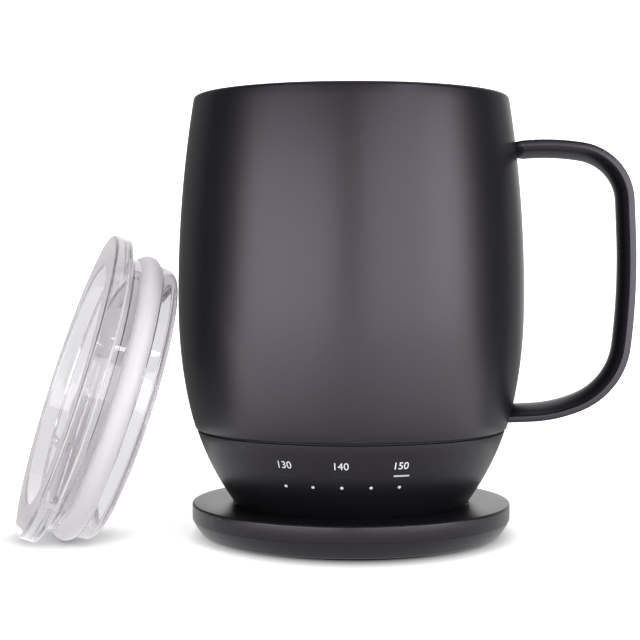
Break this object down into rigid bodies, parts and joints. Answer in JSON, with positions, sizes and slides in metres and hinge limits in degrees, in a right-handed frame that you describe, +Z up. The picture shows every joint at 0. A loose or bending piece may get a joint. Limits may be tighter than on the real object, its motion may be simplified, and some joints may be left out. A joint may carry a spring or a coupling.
{
  "type": "self-heating mug",
  "caption": "Barrel-shaped heated mug with a slim loop handle and lit dots, standing on a round charging coaster, with a clear slide-opening lid leaning beside it.",
  "frame": {"origin": "centre of the coaster's underside, on the table", "axes": "+Z up along the mug's axis, +X towards the handle, -Y towards the row of lights on the front"},
  "size_m": [0.163, 0.0985, 0.1138],
  "materials": {
    "coat": "satin black coat with a fine grain",
    "inner_coat": "satin black coat inside the cup",
    "base_coat": "satin black coated plastic",
    "coaster_plastic": "matt dark grey moulded plastic",
    "black_silicone": "matt",
    "clear_plastic": "clear, polished",
    "white_silicone": "frosted, milky",
    "gilt": "gold plated, smooth",
    "steel": "plain",
    "button_plastic": "matt",
    "board": "solder mask",
    "chip": "moulded",
    "cell_wrap": "shrink sleeve",
    "tray_plastic": "moulded",
    "foam": "closed-cell foam",
    "film": "amber film",
    "wire": "insulated lead",
    "light_on": "lit lens",
    "light_off": "unlit lens, dark tinted"
  },
  "bodies": {
    "coaster": {"coaster_top": "coaster_plastic", "coaster_bottom": "coaster_plastic", "coaster_pad": "black_silicone", "coaster_screws": "steel", "coaster_board": "board", "coaster_chips": "chip", "coaster_inlet": "steel", "pin_barrels": "gilt", "pin_spring_inner": "steel", "pin_spring_outer": "steel"},
    "mug": {"mug_shell": "coat", "mug_liner": "inner_coat", "handle": "coat", "seam_ring": "black_silicone", "base_housing": "base_coat", "base_cover": "base_coat", "base_seal": "black_silicone", "base_foot": "black_silicone", "base_screws": "steel", "contact_ring_inner": "gilt", "contact_ring_outer": "gilt", "button_spring": "steel", "button_switch": "chip", "main_board": "board", "board_components": "chip", "battery_cells": "cell_wrap", "battery_cradle": "tray_plastic", "light_board": "board", "leds": "tray_plastic", "dot_lenses": "light_on", "bar_lens_lit": "light_on", "bar_lenses_dark": "light_off", "insulation_disc": "foam", "heater_film": "film", "temperature_sensor": "steel", "heater_leads": "wire"},
    "button": {"button_cap": "button_plastic", "switch_plunger": "chip"},
    "pin_inner": {"pin_plunger_inner": "gilt"},
    "pin_outer": {"pin_plunger_outer": "gilt"},
    "lid": {"lid_body": "clear_plastic", "lid_gasket": "white_silicone"},
    "slider": {"lid_slider": "clear_plastic"}
  },
  "joints": [
    {"name": "mug_lift", "type": "slide", "parent": "coaster", "child": "mug", "axis": [0, 0, 1], "range_m": [0, 0.15]},
    {"name": "button_press", "type": "slide", "parent": "mug", "child": "button", "axis": [0, 0, 1], "range_m": [0, 0.0006], "stiffness_N_per_m": 2500, "springref_m": -0.0002, "deforming": ["button_spring"]},
    {"name": "pin_inner_travel", "type": "slide", "parent": "coaster", "child": "pin_inner", "axis": [0, 0, 1], "range_m": [-0.0006, 0], "stiffness_N_per_m": 700, "springref_m": 0.0003, "deforming": ["pin_spring_inner"]},
    {"name": "pin_outer_travel", "type": "slide", "parent": "coaster", "child": "pin_outer", "axis": [0, 0, 1], "range_m": [-0.0006, 0], "stiffness_N_per_m": 700, "springref_m": 0.0003, "deforming": ["pin_spring_outer"]},
    {"name": "lid_lift", "type": "slide", "parent": "coaster", "child": "lid", "axis": [0, 0, 1], "range_m": [0, 0.15]},
    {"name": "slider_slide", "type": "slide", "parent": "lid", "child": "slider", "axis": [0.2967, 0.0998, 0.9497], "range_m": [0, 0.01]}
  ]
}
